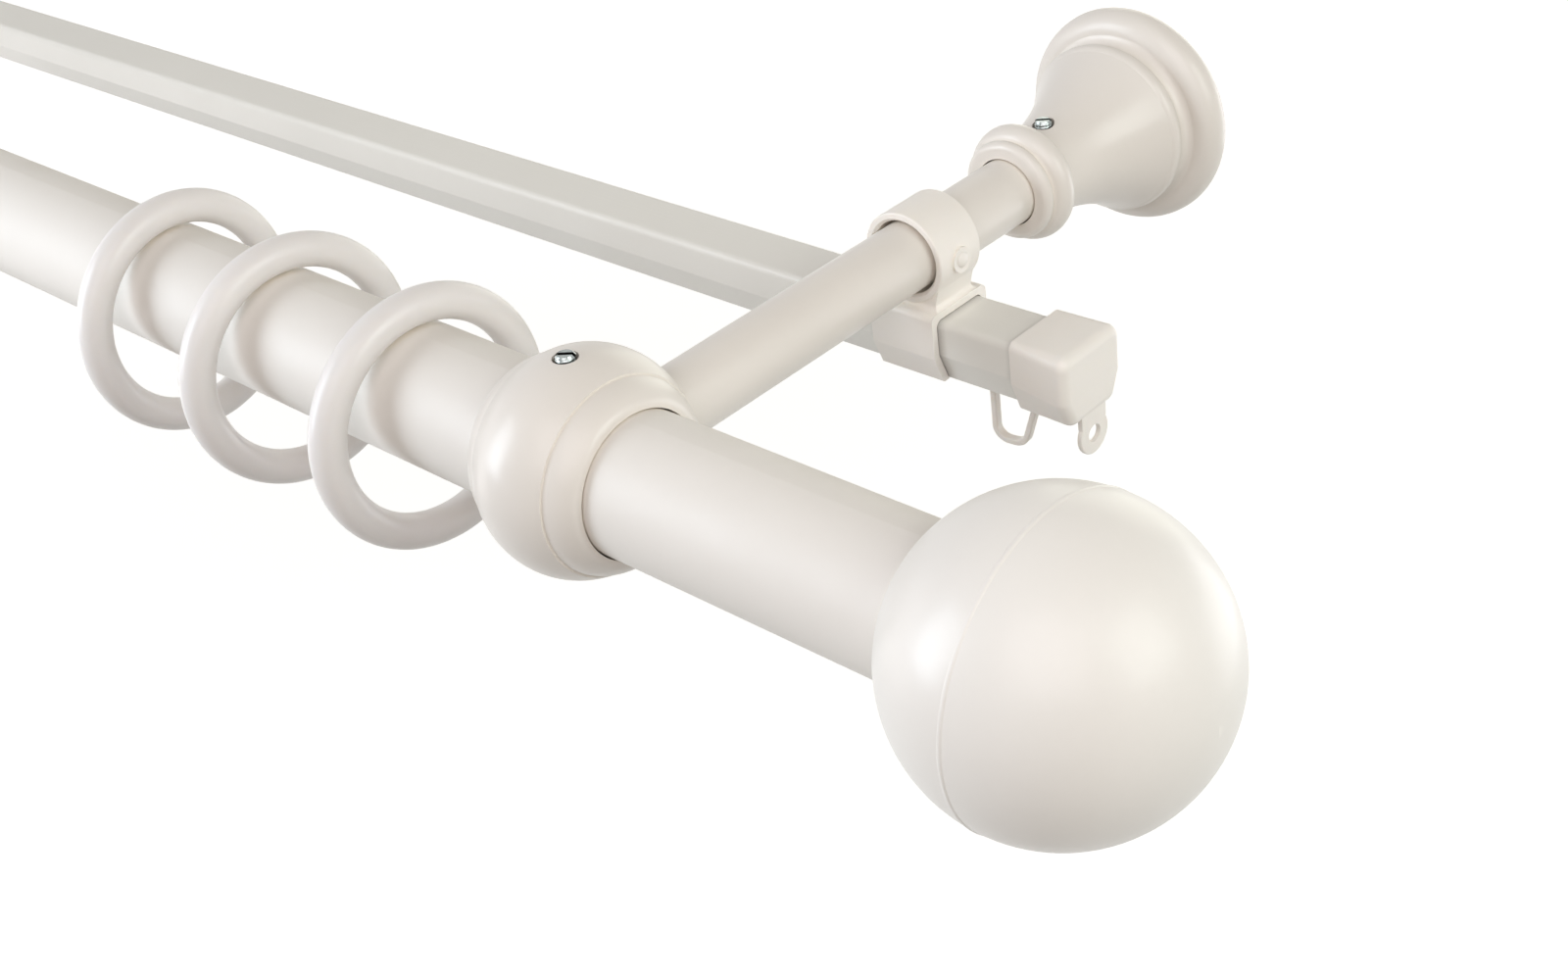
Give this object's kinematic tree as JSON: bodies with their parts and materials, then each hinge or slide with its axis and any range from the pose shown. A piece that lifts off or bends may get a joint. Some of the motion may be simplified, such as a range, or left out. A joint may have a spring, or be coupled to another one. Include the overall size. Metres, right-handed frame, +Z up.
{
  "type": "double curtain rod with brackets",
  "caption": "Round front pole with ball finials and rings, and a slotted rail behind it, on wall brackets with turned bases, ball holders and moulded rail clips.",
  "frame": {"origin": "midway between the two brackets, in the wall plane, at the height of the pole's axis; this is the centre of the four wall-screw holes", "axes": "+X along the pole towards its right end, seen from the room; +Y into the wall; +Z up"},
  "size_m": [1.0988, 0.2041, 0.0705],
  "materials": {
    "pole_enamel": "satin white enamel on steel tube",
    "rail_enamel": "white powder coat on an aluminium extrusion, a little cooler than the rest",
    "white_enamel": "satin white enamel on cast and turned metal",
    "finial_shell": "satin white painted moulding",
    "ring_plastic": "satin white moulding",
    "clip_plastic": "off-white moulding with a slight sheen",
    "glider_plastic": "off-white nylon",
    "plug_plastic": "grey moulding, hidden in the pole's ends",
    "zinc_steel": "bright zinc plate",
    "plain_steel": "plain zinc-plated steel"
  },
  "bodies": {
    "hung_set": {"pole": "pole_enamel", "curtain_rail": "rail_enamel", "pole_holder_right": "white_enamel", "holder_bolt_right": "zinc_steel", "arm_plug_right": "plain_steel", "arm_right": "white_enamel", "wall_base_right": "white_enamel", "wall_plate_right": "plain_steel", "rail_clip_right": "clip_plastic", "clip_pin_right": "clip_plastic", "rail_end_cap_right": "clip_plastic", "finial_back_right": "finial_shell", "finial_front_right": "finial_shell", "finial_plug_right": "plug_plastic", "finial_screw_right": "plain_steel", "pole_holder_left": "white_enamel", "holder_bolt_left": "zinc_steel", "arm_plug_left": "plain_steel", "arm_left": "white_enamel", "wall_base_left": "white_enamel", "wall_plate_left": "plain_steel", "rail_clip_left": "clip_plastic", "clip_pin_left": "clip_plastic", "rail_end_cap_left": "clip_plastic", "finial_back_left": "finial_shell", "finial_front_left": "finial_shell", "finial_plug_left": "plug_plastic", "finial_screw_left": "plain_steel"},
    "ring_right_1": {"ring_right_1": "ring_plastic"},
    "ring_right_2": {"ring_right_2": "ring_plastic"},
    "ring_right_3": {"ring_right_3": "ring_plastic"},
    "glider_right": {"glider_right": "glider_plastic"},
    "holder_set_screw_right": {"holder_set_screw_right": "zinc_steel"},
    "base_set_screw_right": {"base_set_screw_right": "zinc_steel"},
    "ring_left_1": {"ring_left_1": "ring_plastic"},
    "ring_left_2": {"ring_left_2": "ring_plastic"},
    "ring_left_3": {"ring_left_3": "ring_plastic"},
    "glider_left": {"glider_left": "glider_plastic"},
    "holder_set_screw_left": {"holder_set_screw_left": "zinc_steel"},
    "base_set_screw_left": {"base_set_screw_left": "zinc_steel"}
  },
  "joints": [
    {"name": "ring_right_1_slide", "type": "slide", "parent": "hung_set", "child": "ring_right_1", "axis": [1, 0, 0], "range_m": [-0.0349, 0.028]},
    {"name": "ring_right_2_slide", "type": "slide", "parent": "hung_set", "child": "ring_right_2", "axis": [1, 0, 0], "range_m": [-0.0321, 0.0349]},
    {"name": "ring_right_3_slide", "type": "slide", "parent": "hung_set", "child": "ring_right_3", "axis": [1, 0, 0], "range_m": [-0.552, 0.0321]},
    {"name": "glider_right_slide", "type": "slide", "parent": "hung_set", "child": "glider_right", "axis": [1, 0, 0], "range_m": [-0.8633, 0]},
    {"name": "holder_set_screw_right_turn", "type": "hinge", "parent": "hung_set", "child": "holder_set_screw_right", "pos_m": [0.416, -0.176, 0.018], "axis": [0, 0, 1], "continuous": true},
    {"name": "base_set_screw_right_turn", "type": "hinge", "parent": "hung_set", "child": "base_set_screw_right", "pos_m": [0.416, -0.0356, 0.009], "axis": [0, 0, 1], "continuous": true},
    {"name": "ring_left_1_slide", "type": "slide", "parent": "hung_set", "child": "ring_left_1", "axis": [1, 0, 0], "range_m": [-0.028, 0.0349]},
    {"name": "ring_left_2_slide", "type": "slide", "parent": "hung_set", "child": "ring_left_2", "axis": [1, 0, 0], "range_m": [-0.0349, 0.0321]},
    {"name": "ring_left_3_slide", "type": "slide", "parent": "hung_set", "child": "ring_left_3", "axis": [1, 0, 0], "range_m": [-0.0321, 0.552]},
    {"name": "glider_left_slide", "type": "slide", "parent": "hung_set", "child": "glider_left", "axis": [1, 0, 0], "range_m": [0, 0.8633]},
    {"name": "holder_set_screw_left_turn", "type": "hinge", "parent": "hung_set", "child": "holder_set_screw_left", "pos_m": [-0.416, -0.176, 0.018], "axis": [0, 0, 1], "continuous": true},
    {"name": "base_set_screw_left_turn", "type": "hinge", "parent": "hung_set", "child": "base_set_screw_left", "pos_m": [-0.416, -0.0356, 0.009], "axis": [0, 0, 1], "continuous": true}
  ]
}
